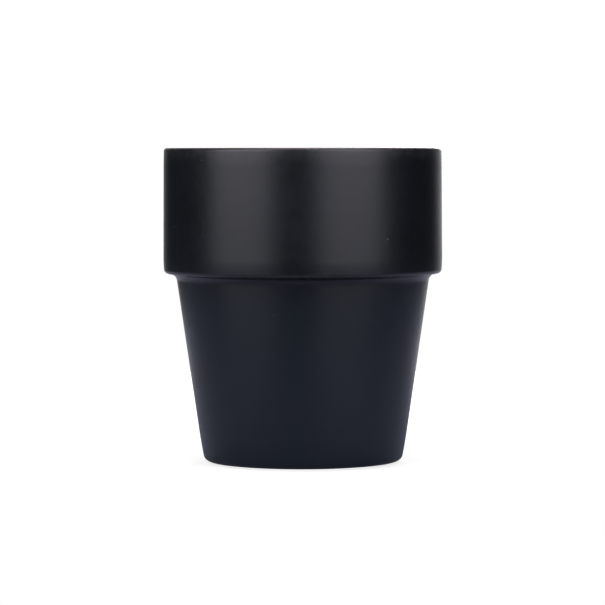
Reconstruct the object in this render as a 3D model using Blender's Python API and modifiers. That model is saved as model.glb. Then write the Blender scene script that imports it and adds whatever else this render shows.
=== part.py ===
"""Handleless stacking mug in the shape of a flower pot, in glazed stoneware.

Metres, +Z up. The origin is the centre of the foot, on the surface that the mug stands on.
The clay body is turned from one outline. Each glaze coat is a thin shell that follows the same
finished surface, so the clay and the coats stay parallel whatever size is changed.
"""

import math

import bpy

# The finished outside, from the foot ring's tread up to the rim
HEIGHT = 0.0958
COLLAR_DIAMETER = 0.0850
COLLAR_HEIGHT = 0.0380
COLLAR_LEAN = 0.0002
SHOULDER_WIDTH = 0.0038
BASE_DIAMETER = 0.0608
COLLAR_EDGE_RADIUS = 0.0015
SHOULDER_FILLET = 0.0020
BASE_CORNER_RADIUS = 0.0024

# The finished inside, which runs parallel to the outside
WALL_THICKNESS = 0.0033
FLOOR_THICKNESS = 0.0042
LIP_OUTER_RADIUS = 0.0009
LIP_INNER_RADIUS = 0.0015
LEDGE_ROUND = 0.0017
LEDGE_FILLET = 0.0014
WELL_CORNER_RADIUS = 0.0060

# The foot ring of bare clay and the recess inside it
FOOT_INSET = 0.0059
FOOT_WIDTH = 0.0034
FOOT_STAND = 0.0004
FOOT_EDGE_RADIUS = 0.0005
RECESS_HEIGHT = 0.0016
RECESS_FILLET = 0.0006

# The glaze coats, and the clearance between each coat and what it lies on
GLAZE_THICKNESS = 0.0004
BOND_GAP = 0.0003
LINER_LINE_DEPTH = 0.0060
WIPED_MARGIN = 0.0008

# How finely round shapes are drawn
TURN_STEPS = 56
ARC_STEP_ANGLE = math.radians(30)

COLLAR_R = COLLAR_DIAMETER / 2
BASE_R = BASE_DIAMETER / 2
FOOT_OUTER_R = BASE_R - FOOT_INSET
FOOT_INNER_R = FOOT_OUTER_R - FOOT_WIDTH
SHOULDER_Z = HEIGHT - COLLAR_HEIGHT
FLOOR_Z = RECESS_HEIGHT + FLOOR_THICKNESS
GLAZE_DEPTH = GLAZE_THICKNESS + BOND_GAP


def clear_scene():
    for obj in list(bpy.data.objects):
        bpy.data.objects.remove(obj, do_unlink=True)


def ceramic(name, colour, roughness):
    material = bpy.data.materials.new(name)
    material.use_nodes = True
    shader = material.node_tree.nodes["Principled BSDF"]
    shader.inputs["Base Color"].default_value = (*colour, 1.0)
    shader.inputs["Roughness"].default_value = roughness
    shader.inputs["Metallic"].default_value = 0.0
    return material


# An outline is a list of corners (radius, height, rounding) with the solid on its right-hand side.


def shifted(start, end, depth):
    """The line from start to end, moved sideways into the solid."""
    along_r, along_z = end[0] - start[0], end[1] - start[1]
    length = math.hypot(along_r, along_z)
    move_r, move_z = depth * along_z / length, -depth * along_r / length
    return (start[0] + move_r, start[1] + move_z), (end[0] + move_r, end[1] + move_z)


def crossing(first, second):
    """Where two lines, each given by two points, cross."""
    (ar, az), (br, bz) = first
    (cr, cz), (dr, dz) = second
    turn = (br - ar) * (dz - cz) - (bz - az) * (dr - cr)
    share = ((cr - ar) * (dz - cz) - (cz - az) * (dr - cr)) / turn
    return ar + share * (br - ar), az + share * (bz - az)


def turns_left(before, here, after):
    """True at an inside corner of the solid."""
    into = here[0] - before[0], here[1] - before[1]
    out = after[0] - here[0], after[1] - here[1]
    return into[0] * out[1] - into[1] * out[0] > 0


def inset(corners, depth):
    """The same outline, that deep below the surface: inside corners widen and outside corners tighten."""
    lines = [shifted(a, b, depth) for a, b in zip(corners, corners[1:])]
    moved = [(*lines[0][0], 0.0)]
    for index, (before, after) in enumerate(zip(lines, lines[1:]), start=1):
        rounding = corners[index][2]
        widen = depth if turns_left(*corners[index - 1:index + 2]) else -depth
        moved.append((*crossing(before, after), max(rounding + widen, 0.0)))
    moved.append((*lines[-1][1], 0.0))
    return moved


def arc(before, here, after):
    """Points of the rounding at one corner, tangent to both of its sides."""
    radius = here[2]
    into = math.atan2(here[1] - before[1], here[0] - before[0])
    out = math.atan2(after[1] - here[1], after[0] - here[0])
    turn = math.remainder(out - into, math.tau)
    setback = radius * math.tan(abs(turn) / 2)
    side = math.copysign(math.pi / 2, turn)
    start = here[0] - setback * math.cos(into), here[1] - setback * math.sin(into)
    centre = start[0] + radius * math.cos(into + side), start[1] + radius * math.sin(into + side)
    steps = max(2, round(abs(turn) / ARC_STEP_ANGLE))
    angles = [into - side + turn * step / steps for step in range(steps + 1)]
    return [(centre[0] + radius * math.cos(a), centre[1] + radius * math.sin(a)) for a in angles]


def traced(corners):
    """The outline's points, with each rounded corner drawn as an arc."""
    points = [corners[0][:2]]
    for before, here, after in zip(corners, corners[1:], corners[2:]):
        points += arc(before, here, after) if here[2] > 0 else [here[:2]]
    return points + [corners[-1][:2]]


def shell(corners, thickness):
    """The closed outline of a coat of that thickness under a surface."""
    return traced(corners) + traced(inset(corners, thickness))[::-1]


def turned(name, points, material, collection):
    """A closed outline turned once round the Z axis, left open only where it runs along the axis."""
    followers = [*range(1, len(points)), 0]
    edges = [(a, b) for a, b in enumerate(followers) if points[a][0] > 0 or points[b][0] > 0]
    mesh = bpy.data.meshes.new(name)
    mesh.from_pydata([(r, 0.0, z) for r, z in points], edges, [])
    mesh.materials.append(material)
    obj = bpy.data.objects.new(name, mesh)
    collection.objects.link(obj)
    screw = obj.modifiers.new("turn", "SCREW")
    screw.axis = "Z"
    screw.angle = math.tau
    screw.steps = screw.render_steps = TURN_STEPS
    screw.use_merge_vertices = True
    screw.merge_threshold = 1e-5
    screw.use_smooth_shade = True
    return obj


def outside_corners():
    """The finished outside, from the rim down to where the tapered wall meets the base."""
    return [
        (COLLAR_R - COLLAR_LEAN, HEIGHT, LIP_OUTER_RADIUS),
        (COLLAR_R, SHOULDER_Z, COLLAR_EDGE_RADIUS),
        (COLLAR_R - SHOULDER_WIDTH, SHOULDER_Z, SHOULDER_FILLET),
        (BASE_R, FOOT_STAND, BASE_CORNER_RADIUS),
    ]


def inside_corners():
    """The finished inside, from the well up to the rim, one wall's thickness from the outside."""
    rim, collar, neck, base = outside_corners()
    collar_side = shifted(rim, collar, WALL_THICKNESS)
    ledge_side = shifted(collar, neck, WALL_THICKNESS)
    wall_side = shifted(neck, base, WALL_THICKNESS)
    floor_plane = (0.0, FLOOR_Z), (BASE_R, FLOOR_Z)
    rim_plane = (0.0, HEIGHT), (COLLAR_R, HEIGHT)
    return [
        (*crossing(floor_plane, wall_side), WELL_CORNER_RADIUS),
        (*crossing(wall_side, ledge_side), LEDGE_ROUND),
        (*crossing(ledge_side, collar_side), LEDGE_FILLET),
        (*crossing(collar_side, rim_plane), LIP_INNER_RADIUS),
    ]


def underside_corners():
    """The finished recess, from the foot ring's wiped edge up its inner side and in to the axis."""
    side_r = FOOT_INNER_R - GLAZE_DEPTH
    return [(side_r, WIPED_MARGIN, 0.0), (side_r, RECESS_HEIGHT, RECESS_FILLET), (0.0, RECESS_HEIGHT, 0.0)]


def collar_point(depth):
    """A point on the inside of the collar, that far below the rim."""
    ledge, lip = inside_corners()[-2:]
    share = depth / (lip[1] - ledge[1])
    return lip[0] + share * (ledge[0] - lip[0]), HEIGHT - depth, 0.0


def clay_outline():
    """The fired clay: under the coats on both sides of the wall, and bare at the foot ring."""
    finished = [(0.0, FLOOR_Z, 0.0), *inside_corners(), *outside_corners(), (FOOT_OUTER_R, FOOT_STAND, 0.0)]
    tread = [(FOOT_OUTER_R, 0.0, FOOT_EDGE_RADIUS), (FOOT_INNER_R, 0.0, FOOT_EDGE_RADIUS)]
    recess = inset(underside_corners(), GLAZE_DEPTH)[1:]
    return traced([*inset(finished, GLAZE_DEPTH), *tread, *recess])


def outer_glaze_outline():
    """From the line inside the collar, over the lip and down to the wiped margin beside the foot ring."""
    line = collar_point(LINER_LINE_DEPTH)
    wiped_end = (FOOT_OUTER_R + WIPED_MARGIN, FOOT_STAND, 0.0)
    return shell([line, inside_corners()[-1], *outside_corners(), wiped_end], GLAZE_THICKNESS)


def liner_glaze_outline():
    """From the middle of the well up to the outer coat's line inside the collar."""
    line = collar_point(LINER_LINE_DEPTH + BOND_GAP)
    return shell([(0.0, FLOOR_Z, 0.0), *inside_corners()[:-1], line], GLAZE_THICKNESS)


def underside_glaze_outline():
    """All of the finished recess."""
    return shell(underside_corners(), GLAZE_THICKNESS)


def main():
    clear_scene()
    mug = bpy.data.collections.new("stacking_mug")
    bpy.context.scene.collection.children.link(mug)

    stoneware = ceramic("bare_stoneware", (0.46, 0.38, 0.30), 0.85)
    matt_glaze = ceramic("matt_glaze", (0.011, 0.013, 0.018), 0.42)
    liner_glaze = ceramic("liner_glaze", (0.010, 0.011, 0.015), 0.22)
    underside_glaze = ceramic("underside_glaze", (0.011, 0.013, 0.018), 0.45)

    turned("clay_body", clay_outline(), stoneware, mug)
    turned("outer_glaze", outer_glaze_outline(), matt_glaze, mug)
    turned("liner_glaze", liner_glaze_outline(), liner_glaze, mug)
    turned("underside_glaze", underside_glaze_outline(), underside_glaze, mug)


main()
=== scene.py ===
"""Looks of a handleless stacking mug: a turned stoneware pot under matt and satin blue-black glazes.

Each piece is lathed from an outline, with the corners rounded before the turn.
An outline runs with the solid on its right.
Sizes are in metres, and a brightness of 1 is white.
"""

import math

import bmesh
import bpy
from mathutils import Matrix, Vector


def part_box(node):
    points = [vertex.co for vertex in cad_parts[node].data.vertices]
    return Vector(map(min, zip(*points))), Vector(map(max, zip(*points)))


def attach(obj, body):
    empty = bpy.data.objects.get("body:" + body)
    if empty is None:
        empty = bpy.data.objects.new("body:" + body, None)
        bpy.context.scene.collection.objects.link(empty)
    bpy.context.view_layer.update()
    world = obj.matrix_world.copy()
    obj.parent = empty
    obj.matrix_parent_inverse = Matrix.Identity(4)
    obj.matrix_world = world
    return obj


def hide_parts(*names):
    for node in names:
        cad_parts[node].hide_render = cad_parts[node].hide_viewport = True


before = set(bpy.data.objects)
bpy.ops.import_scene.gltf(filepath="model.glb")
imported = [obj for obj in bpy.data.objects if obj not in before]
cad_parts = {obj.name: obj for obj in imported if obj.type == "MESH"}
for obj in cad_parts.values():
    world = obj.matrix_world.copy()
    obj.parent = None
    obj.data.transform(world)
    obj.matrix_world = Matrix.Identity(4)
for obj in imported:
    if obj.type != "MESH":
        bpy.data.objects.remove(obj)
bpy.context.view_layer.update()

bl_info = {
    "name": "Stacking mug looks",
    "version": (1, 0, 0),
    "blender": (4, 5, 0),
    "location": "View3D > Sidebar > Mug",
    "description": "Glazed surfaces, bare foot and studio for a handleless stacking mug",
    "category": "Object",
}

BODY = "root"

# Outlines: HOLD is from a long straight's end to the point that keeps it straight,
# and SWING_SHARE is the share of a reach that its long curve takes up on each side
TURN_STEPS = 160
ROUND_STEPS = 8
HOLD = 0.0005
HELD_LENGTH = 4 * HOLD
SWING_SHARE = 0.6
MERGE_DISTANCE = 1e-7

# Edges of the coats: a bead at a free edge, and a tail that thins out beside a bead
BEAD_TUCK = 0.00024
BEAD_SWELL = 0.00004
BEAD_WIDTH = 0.00045
BEAD_ROUND = 0.0005
BEAD_RUN = 0.0018
RUN_ROUND = 0.002
TAIL_RUN = 0.0012
TAIL_TUCK = 0.00020
TAIL_GAP = 0.00005

# How an edge strays: how far from the edge, up to how many foot stands,
# and each wave's count in a turn, share and phase
STRAY_REACH = 4 * HOLD
STRAY_STANDS = 3
STRAY_WAVES = ((2, 1.0, 0.7), (5, 0.7, 2.1), (11, 0.35, 4.0), (23, 0.2, 1.3))

# Where the matt glaze's colour holds a painted reflection below the shoulder and painted highlights by the
# rim and the shoulder, from the shoulder or the rim, and where the clay is browned
REFLECTION_ABOVE = 0.002
REFLECTION_BELOW = 0.010
REFLECTION_SHARE = 0.8
LIP_FULL = 0.0002
CREST_REACH = 0.0008
CREST_FULL = 0.0001
BRINK_FULL = 0.0003
BRINK_SHARE = 0.6
BRINK_BELOW = 0.0003
BRINK_ABOVE = 0.0001
TOAST_INSIDE = 0.0004
TOAST_FULL = 0.0002

# How much the finishes vary
ROUGH_SPREAD = 0.03
LINER_DULLER = 0.05
RECESS_ROUGHER = 0.04
PINHOLE_DULLER = 0.2
FLECK_SHARE = 0.75
DOT_CORE = 0.4

# Sockets of the Mix node when it blends colours
MIX_FACTOR = 0
MIX_FIRST = 6
MIX_SECOND = 7
MIX_RESULT = 2

# Radians that a wave texture of scale 1 runs through in a metre
WAVE_RATE = 20.0

# Studio, floor and camera
WHITE = (1.0, 1.0, 1.0, 1.0)
FLOOR_STEPS = 96
FLOOR_DROP = 0.0001
SHADOW_CORE = 0.3
SENSOR_WIDTH = 36.0


# Properties


def length_prop(name, description, default):
    return bpy.props.FloatProperty(
        name=name,
        description=description,
        default=default,
        min=0.0,
        precision=5,
        subtype="DISTANCE",
        unit="LENGTH",
    )


def colour_prop(name, description, default):
    return bpy.props.FloatVectorProperty(
        name=name,
        description=description,
        default=default,
        size=3,
        min=0.0,
        max=1.0,
        precision=4,
        subtype="COLOR",
    )


def share_prop(name, description, default):
    return bpy.props.FloatProperty(
        name=name, description=description, default=default, min=0.0, max=1.0, subtype="FACTOR"
    )


def angle_prop(name, description, degrees):
    return bpy.props.FloatProperty(
        name=name,
        description=description,
        default=math.radians(degrees),
        subtype="ANGLE",
        unit="ROTATION",
    )


def level_prop(name, description, default):
    return bpy.props.FloatProperty(name=name, description=description, default=default, min=0.0)


def lens_prop(name, description, millimetres):
    return bpy.props.FloatProperty(
        name=name,
        description=description,
        default=millimetres,
        min=1.0,
        subtype="DISTANCE_CAMERA",
        unit="CAMERA",
    )


class MugSizes(bpy.types.PropertyGroup):
    """Outlines of the finished surfaces"""

    rim_height: length_prop("Rim height", "From the tread up to the rim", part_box("outer_glaze")[1].z)
    collar_radius: length_prop("Collar radius", "At the bottom of the collar", 0.0425)
    collar_height: length_prop("Collar height", "From the rim down to the shoulder", 0.0382)
    collar_lean: length_prop("Collar lean", "How much narrower the collar's radius is at the rim", 0.0002)
    shoulder_width: length_prop("Shoulder width", "How far the collar stands out over the wall", 0.0038)
    base_radius: length_prop("Base radius", "Where the tapered wall would meet the base", 0.0304)
    wall: length_prop("Wall", "Thickness of the finished wall", 0.0033)
    well_height: length_prop("Well height", "From the tread up to the bottom of the well", 0.0058)
    lip_outer_round: length_prop("Lip outer rounding", "Rounding of the rim's outer edge", 0.0009)
    lip_inner_round: length_prop("Lip inner rounding", "Rounding of the rim's inner edge", 0.0015)
    collar_round: length_prop("Collar rounding", "Rounding of the collar's lower edge", 0.0015)
    ease_reach: length_prop("Ease reach", "From the collar's edges to where its face is straight", 0.0030)
    ease_depth: length_prop("Ease depth", "How far the collar's face falls away at its lower edge", 0.0003)
    lip_ease: length_prop("Lip ease", "How far the collar's face falls away at the rim", 0.0001)
    # The next two set how far the painted highlights reach below the rim and above the shoulder
    lip_highlight_reach: length_prop("Lip break", "How far down from the rim the matt glaze thins", 0.0044)
    brink_highlight_reach: length_prop("Brink break", "How far up from the shoulder the matt glaze thins", 0.0018)
    tuck_reach: length_prop("Tuck reach", "How far above the base the wall starts to tuck in", 0.0060)
    tuck_depth: length_prop("Tuck depth", "How far the wall has tucked in at the base", 0.0003)
    shoulder_fillet: length_prop("Shoulder fillet", "Fillet between the shoulder and the wall", 0.0024)
    base_round: length_prop("Base rounding", "Rounding of the base's edge", 0.0020)
    ledge_round: length_prop("Ledge rounding", "Rounding of the ledge inside the collar", 0.0017)
    ledge_fillet: length_prop("Ledge fillet", "Fillet between the ledge and the collar", 0.0014)
    well_round: length_prop("Well rounding", "Fillet round the bottom of the well", 0.0060)
    foot_radius: length_prop("Foot radius", "Outer radius of the foot ring", 0.0245)
    foot_width: length_prop("Foot width", "Width of the foot ring", 0.0034)
    foot_round: length_prop("Foot rounding", "Rounding of the foot ring's edges", 0.0005)
    foot_stand: length_prop("Foot stand", "Height of the base above the tread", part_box("outer_glaze")[0].z)
    recess_height: length_prop("Recess height", "Depth of the recess inside the foot ring", 0.0016)
    recess_fillet: length_prop("Recess fillet", "Fillet round the recess", 0.0006)
    coat: length_prop("Coat", "Thickness of a glaze coat", 0.0004)
    bond: length_prop("Bond", "Clearance between a coat and the clay", 0.0003)
    line_depth: length_prop("Glaze line depth", "From the rim down to where the coats meet", 0.0060)
    wiped: length_prop("Wiped margin", "Bare clay left beside the foot ring", 0.0008)
    stray: length_prop("Stray", "How far the edge of a coat strays from a true circle", 0.00022)


class MugFinish(bpy.types.PropertyGroup):
    """Colours and gloss of the glazes and the clay"""

    matt_deep: colour_prop("Matt, thick", "Colour where the glaze lies thick", (0.0004, 0.0016, 0.0030))
    matt_pale: colour_prop("Matt, thinner", "Colour where the glaze lies thinner", (0.0007, 0.0024, 0.0043))
    # Painted reflection: the bluer colour below the shoulder stands for bluish light from below mirrored in
    # the wall
    matt_painted_reflection: colour_prop("Matt, pooled", "Colour where the glaze has pooled", (0.0003, 0.0033, 0.0053))
    # Painted highlight: a paler colour below the rim and above the shoulder, where the roundings catch the
    # light
    matt_painted_highlight: colour_prop("Matt, thin", "Colour where the glaze thins at edges", (0.0175, 0.0172, 0.0200))
    # A warm glaze break on the lip, made paler as a painted highlight of the light from above
    matt_break_and_highlight: colour_prop("Matt, lip", "Colour where the glaze breaks on the lip", (0.036, 0.019, 0.023))
    matt_tint: colour_prop("Matt, reflections", "Tint of the glaze's reflections", (0.904, 0.881, 1.000))
    # Painted glints: light dots where pinholes would catch the light
    matt_painted_glint: colour_prop("Matt, specks", "Colour of fine specks in the glaze", (0.120, 0.124, 0.130))
    matt_roughness: share_prop("Matt roughness", "Roughness of the matt glaze", 0.348)
    matt_specular: share_prop("Matt specular", "Specular level of the matt glaze", 0.414)
    liner_deep: colour_prop("Liner, thick", "Colour where the liner lies thick", (0.0045, 0.0055, 0.0085))
    liner_pale: colour_prop("Liner, thin", "Colour where the liner lies thinner", (0.0090, 0.0100, 0.0130))
    liner_roughness: share_prop("Liner roughness", "Roughness of the liner", 0.22)
    liner_specular: share_prop("Liner specular", "Specular level of the liner", 0.45)
    clay_light: colour_prop("Clay, light", "Lighter grain of the fired clay", (0.52, 0.43, 0.34))
    clay_dark: colour_prop("Clay, dark", "Darker grain of the fired clay", (0.36, 0.28, 0.21))
    clay_fleck: colour_prop("Clay, flecks", "Iron flecks in the fired clay", (0.10, 0.06, 0.04))
    clay_toast: colour_prop("Clay, toasted", "Clay browned beside the glaze", (0.27, 0.16, 0.09))
    clay_specular: share_prop("Clay specular", "Specular level of the clay", 0.25)


class MugStage(bpy.types.PropertyGroup):
    """Studio, floor and camera"""

    left_bearing: angle_prop("Left box bearing", "Bearing from the camera's side", -51.1)
    left_level: level_prop("Left box brightness", "Brightness of the left softbox", 4.25)
    left_width: length_prop("Left box width", "Width of the left softbox", 0.763)
    right_bearing: angle_prop("Right box bearing", "Bearing from the camera's side", 39.8)
    right_level: level_prop("Right box brightness", "Brightness of the right softbox", 4.12)
    right_width: length_prop("Right box width", "Width of the right softbox", 0.798)
    box_distance: length_prop("Box distance", "From the mug to the softboxes beside it", 0.773)
    box_bottom: length_prop("Box bottom", "Height of the softboxes' lower edges", 0.1136)
    box_top: length_prop("Box top", "Height of the softboxes' upper edges", 1.05)
    skirt_drop: length_prop("Skirt drop", "How far the dimmer skirts reach below the floor", 0.226)
    skirt_share: share_prop("Skirt share", "Brightness of the skirts, as a share of the boxes'", 0.132)
    top_level: level_prop("Top box brightness", "Brightness of the softbox overhead", 3.7)
    top_width: length_prop("Top box width", "Width of the softbox overhead", 0.50)
    top_height: length_prop("Top box height", "Height of the softbox overhead", 0.80)
    under_level: level_prop("Under box brightness", "Brightness of the softbox below the floor", 4.0)
    under_width: length_prop("Under box width", "Width of the softbox below the floor", 0.20)
    under_drop: length_prop("Under box drop", "From the floor down to the box that lights the foot", 0.25)
    room_level: level_prop("Room brightness", "Brightness of the room round the mug", 0.0437)
    backdrop_bearing: angle_prop("Backdrop bearing", "Bearing from straight behind the mug", 5.0)
    backdrop_reach: angle_prop("Backdrop reach", "Half of the backdrop's width, seen from the mug", 33.2)
    edge_bearing: angle_prop("Edge light bearing", "Bearing from the camera's side", 169.0)
    edge_level: level_prop("Edge light brightness", "Brightness of the strip light behind the mug", 10.0)
    edge_width: length_prop("Edge light width", "Width of the strip light behind the mug", 0.175)
    floor_colour: colour_prop("Floor", "Colour of the floor", (0.300, 0.300, 0.300))
    floor_mirrored: colour_prop("Floor, mirrored", "Colour in reflections", (0.292, 0.297, 0.392))
    floor_radius: length_prop("Floor radius", "Radius of the round floor", 0.2685)
    floor_shift: length_prop("Floor shift", "How far behind the mug the middle of the floor lies", 0.117)
    window_radius: length_prop("Window radius", "Radius of the clear floor under the mug", 0.0262)
    sweep_start: length_prop("Sweep start", "Where the floor starts to brighten behind the mug", 0.063)
    sweep_end: length_prop("Sweep end", "Where the floor is white behind the mug", 0.504)
    shadow_depth: share_prop("Shadow depth", "Share of the floor's white lost in the mug's shadow", 0.25)
    shadow_reach: length_prop("Shadow reach", "Where the floor is white all round", 0.16)
    camera_distance: length_prop("Camera distance", "From the mug's axis to the camera", 0.9419)
    camera_height: length_prop("Camera height", "Height of the camera above the floor", 0.0958)
    camera_pitch: angle_prop("Camera pitch", "How far the camera looks down", 2.868)
    camera_roll: angle_prop("Camera roll", "How far the camera leans", -0.12)
    camera_aside: length_prop("Camera aside", "How far right of the camera's line the mug stands", 0.00012)
    camera_lens: lens_prop("Lens", "Focal length on a 36 mm frame", 183.8)


# Outlines


def moved_in(start, end, depth):
    """The line between two outline points, moved into the solid, which lies on its right."""
    along = (Vector(end[:2]) - Vector(start[:2])).normalized()
    side = Vector((along.y, -along.x)) * depth
    return Vector(start[:2]) + side, Vector(end[:2]) + side


def meeting(first, second):
    """The point where two lines meet."""
    start, along, across = first[0], first[1] - first[0], second[1] - second[0]
    return start + along * ((second[0] - start).cross(across) / along.cross(across))


def outside_corners(sizes):
    """Rim, collar, neck and base of the finished outside, each with its rounding."""
    shoulder = sizes.rim_height - sizes.collar_height
    return [
        (sizes.collar_radius - sizes.collar_lean, sizes.rim_height, sizes.lip_outer_round),
        (sizes.collar_radius, shoulder, sizes.collar_round),
        (sizes.collar_radius - sizes.shoulder_width, shoulder, sizes.shoulder_fillet),
        (sizes.base_radius, sizes.foot_stand, sizes.base_round),
    ]


def swing(reach, depth):
    """Radius of the long curve that lets a face fall away by that depth over that reach."""
    return SWING_SHARE * reach / math.tan(math.atan(depth / reach) / 2)


def eased_outside(sizes):
    """The finished outside, falling away softly towards the rim, the shoulder and the base."""
    rim, collar, neck, base = outside_corners(sizes)
    down = (Vector(collar[:2]) - Vector(rim[:2])).normalized() * sizes.ease_reach
    up = (Vector(neck[:2]) - Vector(base[:2])).normalized() * sizes.tuck_reach
    return [
        (rim[0] - sizes.lip_ease, *rim[1:]),
        (*(Vector(rim[:2]) + down), swing(sizes.ease_reach, sizes.lip_ease)),
        (*(Vector(collar[:2]) - down), swing(sizes.ease_reach, sizes.ease_depth)),
        (collar[0] - sizes.ease_depth, *collar[1:]),
        neck,
        (*(Vector(base[:2]) + up), swing(sizes.tuck_reach, sizes.tuck_depth)),
        (base[0] - sizes.tuck_depth, *base[1:]),
    ]


def inside_corners(sizes):
    """Well, ledge, collar and lip of the finished inside, one wall from the outside."""
    rim, collar, neck, base = outside_corners(sizes)
    collar_side = moved_in(rim, collar, sizes.wall)
    ledge_side = moved_in(collar, neck, sizes.wall)
    wall_side = moved_in(neck, base, sizes.wall)
    well_side = Vector((0.0, sizes.well_height)), Vector((1.0, sizes.well_height))
    rim_side = Vector((0.0, sizes.rim_height)), Vector((1.0, sizes.rim_height))
    return [
        (*meeting(well_side, wall_side), sizes.well_round),
        (*meeting(wall_side, ledge_side), sizes.ledge_round),
        (*meeting(ledge_side, collar_side), sizes.ledge_fillet),
        (*meeting(collar_side, rim_side), sizes.lip_inner_round),
    ]


def recess_corners(sizes):
    """Side and roof of the finished recess inside the foot ring."""
    side = sizes.foot_radius - sizes.foot_width - sizes.coat - sizes.bond
    roof = sizes.recess_height
    return [(side, sizes.wiped, 0.0), (side, roof, sizes.recess_fillet), (0.0, roof, 0.0)]


def line_radius(sizes):
    """Radius of the collar's inside at the line where the coats meet."""
    ledge, lip = inside_corners(sizes)[-2:]
    return lip[0] + (ledge[0] - lip[0]) * sizes.line_depth / (lip[1] - ledge[1])


def sunk(corners, depth):
    """An outline that deep below the surface, with its roundings kept parallel."""
    lines = [moved_in(a, b, depth) for a, b in zip(corners, corners[1:])]
    result = [(*lines[0][0], 0.0)]
    for before, after, corner in zip(lines, lines[1:], corners[1:]):
        hollow = (before[1] - before[0]).cross(after[1] - after[0]) > 0
        result.append((*meeting(before, after), corner[2] + (depth if hollow else -depth)))
    return [*result, (*lines[-1][1], 0.0)]


# Shapes


def setback(before, here, after):
    """How far from a corner its rounding starts."""
    into = Vector(here[:2]) - Vector(before[:2])
    out = Vector(after[:2]) - Vector(here[:2])
    return here[2] * math.tan(abs(into.angle_signed(out)) / 2)


def outline_wire(corners):
    """A closed wire with rounded corners and held straights, open along the axis."""
    shape = bmesh.new()
    points = [shape.verts.new((r, 0.0, z)) for r, z, _ in corners]
    for a, b in zip(points, [*points[1:], points[0]]):
        if a.co.x > 0 or b.co.x > 0:
            shape.edges.new((a, b))
    for index in range(1, len(corners) - 1):
        if corners[index][2] > 0:
            bmesh.ops.bevel(
                shape,
                geom=[points[index]],
                offset=setback(*corners[index - 1:index + 2]),
                offset_type="OFFSET",
                affect="VERTICES",
                segments=ROUND_STEPS,
                profile=0.5,
                material=-1,
            )
    for edge in shape.edges[:]:
        reach = edge.calc_length()
        if reach > HELD_LENGTH:
            near, far = edge.verts
            bmesh.utils.edge_split(edge, near, HOLD / reach)
            bmesh.utils.edge_split(edge, far, HOLD / (reach - HOLD))
    return shape


def lathed(corners):
    """The solid that an outline sweeps in one turn round the mug's axis."""
    shape = outline_wire(corners)
    bmesh.ops.spin(
        shape,
        geom=shape.verts[:] + shape.edges[:],
        cent=(0.0, 0.0, 0.0),
        axis=(0.0, 0.0, 1.0),
        angle=math.tau,
        steps=TURN_STEPS,
        use_merge=True,
    )
    bmesh.ops.remove_doubles(shape, verts=shape.verts[:], dist=MERGE_DISTANCE)
    bmesh.ops.recalc_face_normals(shape, faces=shape.faces[:])
    return shape


def coat_section(corners, thickness):
    """The outline of a coat of that thickness under a surface."""
    return [*corners, *reversed(sunk(corners, thickness))]


def wander(turn, reach):
    """How far a coat's edge strays at a place round the mug, as a sum of whole waves."""
    sway = sum(share * math.sin(count * turn + phase) for count, share, phase in STRAY_WAVES)
    return reach * sway / sum(share for _, share, _ in STRAY_WAVES)


def stray_line(shape, sizes):
    """Lets the line inside the collar stray up and down, less and less away from it."""
    line = sizes.rim_height - sizes.line_depth
    inside = sizes.collar_radius - sizes.wall / 2
    for vert in shape.verts:
        hold = 1 - abs(vert.co.z - line) / STRAY_REACH
        if hold > 0 and vert.co.xy.length < inside:
            vert.co.z += hold * wander(math.atan2(vert.co.y, vert.co.x), sizes.stray)


def stray_foot(shape, sizes):
    """Lets the coat's edge beside the foot ring stray in and out, less and less away from it."""
    edge = sizes.foot_radius + sizes.wiped
    for vert in shape.verts:
        radius = vert.co.xy.length
        hold = 1 - abs(radius - edge) / STRAY_REACH
        if hold > 0 and vert.co.z < STRAY_STANDS * sizes.foot_stand:
            vert.co.xy *= 1 + hold * wander(math.atan2(vert.co.y, vert.co.x), sizes.stray) / radius


def finished_piece(name, shape, material, node):
    """A smooth mesh object that stands for a CAD node."""
    for face in shape.faces:
        face.smooth = True
    mesh = bpy.data.meshes.new(name)
    shape.to_mesh(mesh)
    shape.free()
    mesh.materials.append(material)
    piece = bpy.data.objects.new(name, mesh)
    bpy.context.scene.collection.objects.link(piece)
    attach(piece, BODY)
    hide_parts(node)


# Shader trees


def plug(tree, socket, value):
    """Joins a socket to another one, or sets it to a plain value."""
    if isinstance(value, bpy.types.NodeSocket):
        tree.links.new(value, socket)
    else:
        socket.default_value = value


def add(tree, kind, inputs=None, **settings):
    """A node with its settings made and its sockets filled."""
    node = tree.nodes.new(kind)
    for name, value in settings.items():
        setattr(node, name, value)
    for name, value in (inputs or {}).items():
        plug(tree, node.inputs[name], value)
    return node


def worked(tree, operation, first, second=0.0):
    """The result of a sum on one or two values."""
    return add(tree, "ShaderNodeMath", {0: first, 1: second}, operation=operation).outputs[0]


def faded(tree, value, low, high, bottom=0.0, top=1.0):
    """Eases from bottom to top as the value goes from low to high."""
    inputs = {"Value": value, "From Min": low, "From Max": high, "To Min": bottom, "To Max": top}
    return add(tree, "ShaderNodeMapRange", inputs, interpolation_type="SMOOTHSTEP").outputs["Result"]


def weighed(tree, first, second, share):
    """The first value's share and the rest of the second."""
    kept = worked(tree, "MULTIPLY", first, share)
    rest = worked(tree, "MULTIPLY", second, 1.0 - share)
    return worked(tree, "ADD", kept, rest)


def blended(tree, factor, first, second):
    """The second colour laid over the first."""
    inputs = {MIX_FACTOR: factor, MIX_FIRST: first, MIX_SECOND: second}
    return add(tree, "ShaderNodeMix", inputs, data_type="RGBA").outputs[MIX_RESULT]


def clouds(tree, place, size, detail=3.0):
    """Soft uneven patches of about that size."""
    inputs = {"Vector": place, "Scale": 1.0 / size, "Detail": detail}
    return add(tree, "ShaderNodeTexNoise", inputs).outputs["Fac"]


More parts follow.
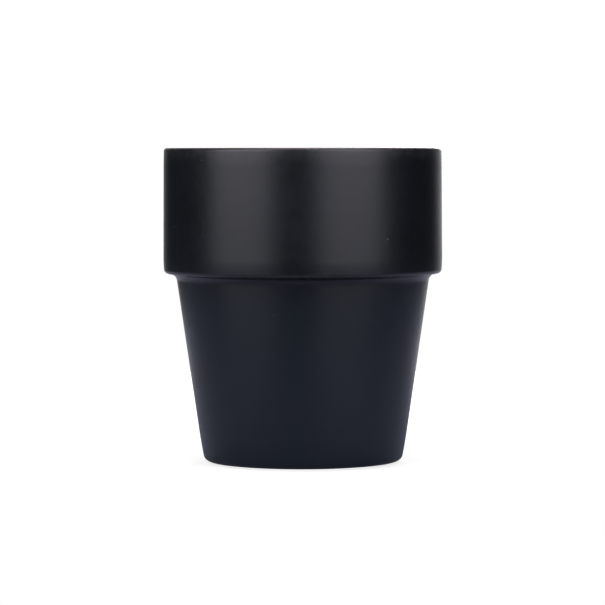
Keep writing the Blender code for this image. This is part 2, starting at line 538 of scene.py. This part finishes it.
def dots(tree, place, spacing, radius, share):
    """Small round dots in a share of the cells of that spacing."""
    cells = add(tree, "ShaderNodeTexVoronoi", {"Vector": place, "Scale": 1.0 / spacing})
    rarity = add(tree, "ShaderNodeSeparateColor", {"Color": cells.outputs["Color"]}).outputs["Red"]
    kept = worked(tree, "GREATER_THAN", rarity, 1.0 - share)
    spot = faded(tree, cells.outputs["Distance"], radius / spacing, DOT_CORE * radius / spacing)
    return worked(tree, "MULTIPLY", kept, spot)


def raised(tree, height, depth, under=None):
    """A surface raised by up to that depth, over another raised surface."""
    inputs = {"Height": height, "Distance": depth}
    if under:
        inputs["Normal"] = under
    return add(tree, "ShaderNodeBump", inputs).outputs["Normal"]


def pitted(tree, holes, depth, under):
    """A surface with holes of that depth."""
    return raised(tree, worked(tree, "SUBTRACT", 1.0, holes), depth, under)


def rings(tree, place, pitch, **settings):
    """Turning marks of that pitch, a little uneven."""
    inputs = {"Vector": place, "Scale": math.tau / (WAVE_RATE * pitch), "Distortion": 1.4, "Detail": 2.0}
    return add(tree, "ShaderNodeTexWave", inputs, **settings).outputs["Fac"]


def opaque(rgb):
    """A colour with full alpha."""
    return (*rgb, 1.0)


def new_finish(name):
    """A material with its tree, its shader and the place on the piece."""
    material = bpy.data.materials.new(name)
    material.use_nodes = True
    tree = material.node_tree
    place = add(tree, "ShaderNodeTexCoord").outputs["Object"]
    return material, tree, tree.nodes["Principled BSDF"], place


def matt_glaze(name, finish, sizes, roughness):
    """Blue-black matt glaze: uneven, warm on the lip, pinholed, with a painted reflection, painted
    highlights and painted glints in its colour.
    """
    material, tree, shader, place = new_finish(name)
    height = add(tree, "ShaderNodeSeparateXYZ", {"Vector": place}).outputs["Z"]
    rim = sizes.rim_height
    shoulder = rim - sizes.collar_height

    run = clouds(tree, place, size=0.024)
    mottle = clouds(tree, place, size=0.0026, detail=4.0)
    tooth = clouds(tree, place, size=0.0007, detail=2.0)
    # Painted glints: a few light dots laid into the colour, where pinholes would catch the light
    painted_glints = dots(tree, place, spacing=0.0042, radius=0.00024, share=0.24)
    pinholes = dots(tree, place, spacing=0.0085, radius=0.00020, share=0.16)

    uneven = weighed(tree, run, mottle, share=0.55)
    patches = faded(tree, uneven, low=0.36, high=0.64)
    body = blended(tree, patches, opaque(finish.matt_deep), opaque(finish.matt_pale))
    # Painted reflection: bluer from just above the shoulder downwards, as if light from below were mirrored
    # there
    painted_reflection = faded(tree, height, shoulder + REFLECTION_ABOVE, shoulder - REFLECTION_BELOW, top=REFLECTION_SHARE)
    reflection_tinted = blended(tree, painted_reflection, body, opaque(finish.matt_painted_reflection))
    flecked = blended(tree, painted_glints, reflection_tinted, opaque(finish.matt_painted_glint))

    broken = faded(tree, mottle, low=0.30, high=0.70, bottom=0.35, top=0.85)
    # Painted highlights: paler bands below the rim and above the shoulder, where the roundings catch the
    # light
    lip = faded(tree, height, rim - sizes.lip_highlight_reach, rim - LIP_FULL)
    brink = faded(tree, height, shoulder + sizes.brink_highlight_reach, shoulder + BRINK_FULL, top=BRINK_SHARE)
    collar = faded(tree, height, shoulder - BRINK_BELOW, shoulder + BRINK_ABOVE)
    edges = worked(tree, "MAXIMUM", lip, worked(tree, "MULTIPLY", brink, collar))
    painted_highlit = blended(tree, worked(tree, "MULTIPLY", edges, broken), flecked, opaque(finish.matt_painted_highlight))
    # On the lip's crest: a warm glaze break, and a painted highlight of the light from above
    crest = faded(tree, height, rim - CREST_REACH, rim - CREST_FULL)
    lipped = blended(tree, worked(tree, "MULTIPLY", crest, broken), painted_highlit, opaque(finish.matt_break_and_highlight))
    plug(tree, shader.inputs["Base Color"], lipped)

    smooth = roughness - ROUGH_SPREAD
    rough = roughness + ROUGH_SPREAD
    patchy = faded(tree, uneven, low=0.30, high=0.70, bottom=smooth, top=rough)
    dulled = worked(tree, "ADD", patchy, worked(tree, "MULTIPLY", pinholes, PINHOLE_DULLER))
    plug(tree, shader.inputs["Roughness"], dulled)

    peel = raised(tree, mottle, depth=0.000018)
    toothed = raised(tree, tooth, depth=0.000008, under=peel)
    plug(tree, shader.inputs["Normal"], pitted(tree, pinholes, depth=0.00006, under=toothed))

    shader.inputs["Specular IOR Level"].default_value = finish.matt_specular
    shader.inputs["Specular Tint"].default_value = opaque(finish.matt_tint)
    return material


def satin_liner(finish):
    """Smoother blue-black liner that has flowed over the turning rings, with a few pinholes."""
    material, tree, shader, place = new_finish("satin_liner")
    run = clouds(tree, place, size=0.020)
    mottle = clouds(tree, place, size=0.0030, detail=4.0)
    pinholes = dots(tree, place, spacing=0.0095, radius=0.00018, share=0.14)
    turned = rings(tree, place, pitch=0.0040, wave_type="BANDS", bands_direction="Z")

    uneven = weighed(tree, run, mottle, share=0.6)
    patches = faded(tree, uneven, low=0.36, high=0.64)
    body = blended(tree, patches, opaque(finish.liner_deep), opaque(finish.liner_pale))
    plug(tree, shader.inputs["Base Color"], body)

    smooth = finish.liner_roughness - ROUGH_SPREAD
    rough = finish.liner_roughness + LINER_DULLER
    patchy = faded(tree, uneven, low=0.30, high=0.70, bottom=smooth, top=rough)
    plug(tree, shader.inputs["Roughness"], patchy)

    ringed = raised(tree, turned, depth=0.000030)
    flowed = raised(tree, mottle, depth=0.000012, under=ringed)
    plug(tree, shader.inputs["Normal"], pitted(tree, pinholes, depth=0.00005, under=flowed))

    shader.inputs["Specular IOR Level"].default_value = finish.liner_specular
    return material


def bare_stoneware(finish, sizes):
    """Unglazed clay: mixed grain, iron flecks, open pits and turning marks, browner next to the glaze."""
    material, tree, shader, place = new_finish("bare_stoneware")
    parts = add(tree, "ShaderNodeSeparateXYZ", {"Vector": place}).outputs
    flat = add(tree, "ShaderNodeCombineXYZ", {"X": parts["X"], "Y": parts["Y"]}).outputs["Vector"]
    radius = add(tree, "ShaderNodeVectorMath", {0: flat}, operation="LENGTH").outputs["Value"]

    grain = clouds(tree, place, size=0.0011, detail=5.0)
    cast = clouds(tree, place, size=0.009)
    flecks = dots(tree, place, spacing=0.0016, radius=0.00019, share=0.20)
    pits = dots(tree, place, spacing=0.0021, radius=0.00024, share=0.30)
    turned = rings(tree, place, pitch=0.0006, wave_type="RINGS", rings_direction="Z")

    grains = faded(tree, grain, low=0.34, high=0.66)
    body = blended(tree, grains, opaque(finish.clay_dark), opaque(finish.clay_light))
    iron = worked(tree, "MULTIPLY", flecks, FLECK_SHARE)
    flecked = blended(tree, iron, body, opaque(finish.clay_fleck))

    outer_edge = sizes.foot_radius
    inner_edge = sizes.foot_radius - sizes.foot_width
    outer_halo = faded(tree, radius, outer_edge - TOAST_INSIDE, outer_edge + sizes.wiped)
    inner_halo = faded(tree, radius, inner_edge + TOAST_INSIDE, inner_edge - TOAST_FULL)
    halo = worked(tree, "MAXIMUM", outer_halo, inner_halo)
    broken = faded(tree, cast, low=0.30, high=0.70, bottom=0.35, top=0.85)
    toast = worked(tree, "MULTIPLY", halo, broken)
    plug(tree, shader.inputs["Base Color"], blended(tree, toast, flecked, opaque(finish.clay_toast)))

    dry = faded(tree, grain, low=0.30, high=0.70, bottom=0.78, top=0.92)
    plug(tree, shader.inputs["Roughness"], dry)

    scored = raised(tree, turned, depth=0.000020)
    sandy = raised(tree, grain, depth=0.000060, under=scored)
    plug(tree, shader.inputs["Normal"], pitted(tree, pits, depth=0.00010, under=sandy))

    shader.inputs["Specular IOR Level"].default_value = finish.clay_specular
    return material


# Stage


def softbox(name, centre, target, width, height, level):
    """A rectangular lamp of even brightness, turned to its target."""
    lamp = bpy.data.lights.new(name, "AREA")
    lamp.shape = "RECTANGLE"
    lamp.size = width
    lamp.size_y = height
    lamp.energy = level * math.pi * width * height
    box = bpy.data.objects.new(name, lamp)
    box.location = centre
    box.rotation_euler = (target - centre).to_track_quat("-Z", "Y").to_euler()
    box.visible_camera = False
    bpy.context.scene.collection.objects.link(box)


def side_box(name, bearing, width, level, heights, stage):
    """An upright softbox beside the mug, between two heights."""
    bottom, top = heights
    level_with = Vector((0.0, 0.0, (bottom + top) / 2))
    out = Vector((math.sin(bearing), -math.cos(bearing), 0.0)) * stage.box_distance
    softbox(name, out + level_with, level_with, width, top - bottom, level)


def studio_world(stage):
    """A dim room with a white backdrop behind the mug; the camera sees white all round."""
    world = bpy.data.worlds.new("studio")
    world.use_nodes = True
    tree = world.node_tree
    tree.nodes.clear()
    ray = add(tree, "ShaderNodeLightPath").outputs
    heading = add(tree, "ShaderNodeTexCoord").outputs["Generated"]
    middle = (math.sin(stage.backdrop_bearing), math.cos(stage.backdrop_bearing), 0.0)
    facing = add(tree, "ShaderNodeVectorMath", {0: heading, 1: middle}, operation="DOT_PRODUCT")
    behind = faded(tree, facing.outputs["Value"], math.cos(stage.backdrop_reach), 1.0)
    mirrored = worked(tree, "MAXIMUM", ray["Is Glossy Ray"], ray["Is Transmission Ray"])
    seen = worked(tree, "MAXIMUM", ray["Is Camera Ray"], worked(tree, "MULTIPLY", mirrored, behind))
    white = add(tree, "ShaderNodeBackground", {"Color": WHITE, "Strength": 1.0}).outputs[0]
    room = add(tree, "ShaderNodeBackground", {"Color": WHITE, "Strength": stage.room_level}).outputs[0]
    mixed = add(tree, "ShaderNodeMixShader", {0: seen, 1: room, 2: white}).outputs[0]
    add(tree, "ShaderNodeOutputWorld", {"Surface": mixed})
    bpy.context.scene.world = world


def floor_finish(stage):
    """A pale floor, white to the camera but for the mug's shadow.

    It is clear from below, and under the mug, so that the foot can be seen and lit.
    """
    material = bpy.data.materials.new("pale_floor")
    material.use_nodes = True
    tree = material.node_tree
    tree.nodes.clear()
    place = add(tree, "ShaderNodeTexCoord").outputs["Object"]
    distance = add(tree, "ShaderNodeVectorMath", {0: place}, operation="LENGTH").outputs["Value"]
    depth = add(tree, "ShaderNodeSeparateXYZ", {"Vector": place}).outputs["Y"]
    ray = add(tree, "ShaderNodeLightPath").outputs

    shaded = 1.0 - stage.shadow_depth
    clear = faded(tree, distance, SHADOW_CORE * stage.shadow_reach, stage.shadow_reach, bottom=shaded)
    seen = worked(tree, "MULTIPLY", ray["Is Camera Ray"], clear)
    mirrored = worked(tree, "MAXIMUM", ray["Is Glossy Ray"], ray["Is Transmission Ray"])
    sweep = faded(tree, depth, stage.sweep_start, stage.sweep_end)
    glow = worked(tree, "MAXIMUM", seen, worked(tree, "MULTIPLY", mirrored, sweep))
    white = add(tree, "ShaderNodeEmission", {"Color": WHITE, "Strength": glow}).outputs[0]
    tone = blended(tree, mirrored, opaque(stage.floor_colour), opaque(stage.floor_mirrored))
    lit = add(tree, "ShaderNodeBsdfDiffuse", {"Color": tone}).outputs[0]
    top = add(tree, "ShaderNodeAddShader", {0: lit, 1: white}).outputs[0]

    window = worked(tree, "LESS_THAN", distance, stage.window_radius)
    below = add(tree, "ShaderNodeNewGeometry").outputs["Backfacing"]
    gone = worked(tree, "MAXIMUM", window, below)
    nothing = add(tree, "ShaderNodeBsdfTransparent").outputs[0]
    both = add(tree, "ShaderNodeMixShader", {0: gone, 1: top, 2: nothing}).outputs[0]
    add(tree, "ShaderNodeOutputMaterial", {"Surface": both})
    return material


def light_stage(stage):
    """Sets the softboxes with their dimmer skirts, the strip light and the room."""
    upper = (stage.box_bottom, stage.box_top)
    lower = (-stage.skirt_drop, stage.box_bottom)
    for side in ("left", "right"):
        parts = ("bearing", "width", "level")
        bearing, width, level = (getattr(stage, f"{side}_{part}") for part in parts)
        side_box(f"{side}_softbox", bearing, width, level, upper, stage)
        side_box(f"{side}_skirt", bearing, width, level * stage.skirt_share, lower, stage)
    side_box("edge_light", stage.edge_bearing, stage.edge_width, stage.edge_level, upper, stage)
    above = Vector((0.0, 0.0, stage.top_height))
    softbox("top_softbox", above, Vector(), stage.top_width, stage.top_width, stage.top_level)
    below = Vector((0.0, 0.0, -stage.under_drop))
    softbox("under_softbox", below, Vector(), stage.under_width, stage.under_width, stage.under_level)
    studio_world(stage)


# Operators


class MUG_OT_clay_body(bpy.types.Operator):
    """Turn the clay pot with its bare foot ring"""

    bl_idname = "mug.clay_body"
    bl_label = "Clay body"

    def execute(self, context):
        sizes = context.scene.mug_sizes
        depth = sizes.coat + sizes.bond
        inner_foot = sizes.foot_radius - sizes.foot_width
        well = (0.0, sizes.well_height, 0.0)
        base_end = (sizes.foot_radius, sizes.foot_stand, 0.0)
        covered = sunk([well, *inside_corners(sizes), *eased_outside(sizes), base_end], depth)
        tread = [(sizes.foot_radius, 0.0, sizes.foot_round), (inner_foot, 0.0, sizes.foot_round)]
        shape = lathed([*covered, *tread, *sunk(recess_corners(sizes), depth)[1:]])
        material = bare_stoneware(context.scene.mug_finish, sizes)
        finished_piece("stoneware_pot", shape, material, "clay_body")
        return {"FINISHED"}


class MUG_OT_outer_glaze(bpy.types.Operator):
    """Lay the matt coat over the lip, collar, shoulder, wall and base"""

    bl_idname = "mug.outer_glaze"
    bl_label = "Outer glaze"

    def execute(self, context):
        sizes, finish = context.scene.mug_sizes, context.scene.mug_finish
        inside, line = line_radius(sizes), sizes.rim_height - sizes.line_depth
        line_bead = [
            (inside + BEAD_TUCK, line, 0.0),
            (inside - BEAD_SWELL, line + BEAD_WIDTH, BEAD_ROUND),
            (inside, line + BEAD_RUN, RUN_ROUND),
        ]
        edge, base = sizes.foot_radius + sizes.wiped, sizes.foot_stand
        foot_bead = [
            (edge + BEAD_RUN, base, RUN_ROUND),
            (edge + BEAD_WIDTH, base - BEAD_SWELL, BEAD_ROUND),
            (edge, base + BEAD_TUCK, 0.0),
        ]
        surface = [*line_bead, inside_corners(sizes)[-1], *eased_outside(sizes), *foot_bead]
        shape = lathed(coat_section(surface, sizes.coat))
        stray_line(shape, sizes)
        stray_foot(shape, sizes)
        material = matt_glaze("matt_glaze", finish, sizes, finish.matt_roughness)
        finished_piece("matt_coat", shape, material, "outer_glaze")
        return {"FINISHED"}


class MUG_OT_liner_glaze(bpy.types.Operator):
    """Lay the satin coat inside, up to the line under the lip"""

    bl_idname = "mug.liner_glaze"
    bl_label = "Liner glaze"

    def execute(self, context):
        sizes = context.scene.mug_sizes
        inside, line = line_radius(sizes), sizes.rim_height - sizes.line_depth
        well = (0.0, sizes.well_height, 0.0)
        tail = [(inside, line - TAIL_RUN, RUN_ROUND), (inside + TAIL_TUCK, line - TAIL_GAP, 0.0)]
        shape = lathed(coat_section([well, *inside_corners(sizes)[:-1], *tail], sizes.coat))
        stray_line(shape, sizes)
        material = satin_liner(context.scene.mug_finish)
        finished_piece("satin_coat", shape, material, "liner_glaze")
        return {"FINISHED"}


class MUG_OT_underside_glaze(bpy.types.Operator):
    """Lay the matt coat in the recess inside the foot ring"""

    bl_idname = "mug.underside_glaze"
    bl_label = "Underside glaze"

    def execute(self, context):
        sizes, finish = context.scene.mug_sizes, context.scene.mug_finish
        shape = lathed(coat_section(recess_corners(sizes), sizes.coat))
        material = matt_glaze("recess_glaze", finish, sizes, finish.matt_roughness + RECESS_ROUGHER)
        finished_piece("recess_coat", shape, material, "underside_glaze")
        return {"FINISHED"}


class MUG_OT_stage(bpy.types.Operator):
    """Set the floor, the softboxes, the backdrop and the camera"""

    bl_idname = "mug.stage"
    bl_label = "Stage"

    def execute(self, context):
        scene, stage = context.scene, context.scene.mug_stage
        disc = bmesh.new()
        bmesh.ops.create_circle(disc, cap_ends=True, segments=FLOOR_STEPS, radius=stage.floor_radius)
        bmesh.ops.translate(disc, verts=disc.verts[:], vec=(0.0, stage.floor_shift, -FLOOR_DROP))
        mesh = bpy.data.meshes.new("floor")
        disc.to_mesh(mesh)
        disc.free()
        mesh.materials.append(floor_finish(stage))
        floor = bpy.data.objects.new("floor", mesh)
        scene.collection.objects.link(floor)

        light_stage(stage)

        lens = bpy.data.cameras.new("camera")
        lens.sensor_width = SENSOR_WIDTH
        lens.lens = stage.camera_lens
        camera = bpy.data.objects.new("camera", lens)
        place = Matrix.Translation((-stage.camera_aside, -stage.camera_distance, stage.camera_height))
        level = Matrix.Rotation(math.pi / 2 - stage.camera_pitch, 4, "X")
        camera.matrix_world = place @ level @ Matrix.Rotation(stage.camera_roll, 4, "Z")
        scene.collection.objects.link(camera)
        scene.camera = camera
        scene.view_settings.view_transform = "Standard"
        return {"FINISHED"}


class MUG_PT_looks(bpy.types.Panel):
    """Sizes, finishes and steps of the mug"""

    bl_idname = "MUG_PT_looks"
    bl_label = "Stacking mug"
    bl_space_type = "VIEW_3D"
    bl_region_type = "UI"
    bl_category = "Mug"

    def draw(self, context):
        for step in STEPS:
            self.layout.operator(step.bl_idname)
        for group in (context.scene.mug_sizes, context.scene.mug_finish, context.scene.mug_stage):
            box = self.layout.box()
            for name in group.__annotations__:
                box.prop(group, name)


GROUPS = {"mug_sizes": MugSizes, "mug_finish": MugFinish, "mug_stage": MugStage}
STEPS = (MUG_OT_clay_body, MUG_OT_outer_glaze, MUG_OT_liner_glaze, MUG_OT_underside_glaze, MUG_OT_stage)


def register():
    for cls in (*GROUPS.values(), *STEPS, MUG_PT_looks):
        bpy.utils.register_class(cls)
    for name, group in GROUPS.items():
        setattr(bpy.types.Scene, name, bpy.props.PointerProperty(type=group))


def unregister():
    for name in GROUPS:
        delattr(bpy.types.Scene, name)
    for cls in (MUG_PT_looks, *reversed(STEPS), *GROUPS.values()):
        bpy.utils.unregister_class(cls)


def main():
    register()
    bpy.ops.mug.clay_body()
    bpy.ops.mug.outer_glaze()
    bpy.ops.mug.liner_glaze()
    bpy.ops.mug.underside_glaze()
    bpy.ops.mug.stage()


if __name__ == "__main__":
    main()
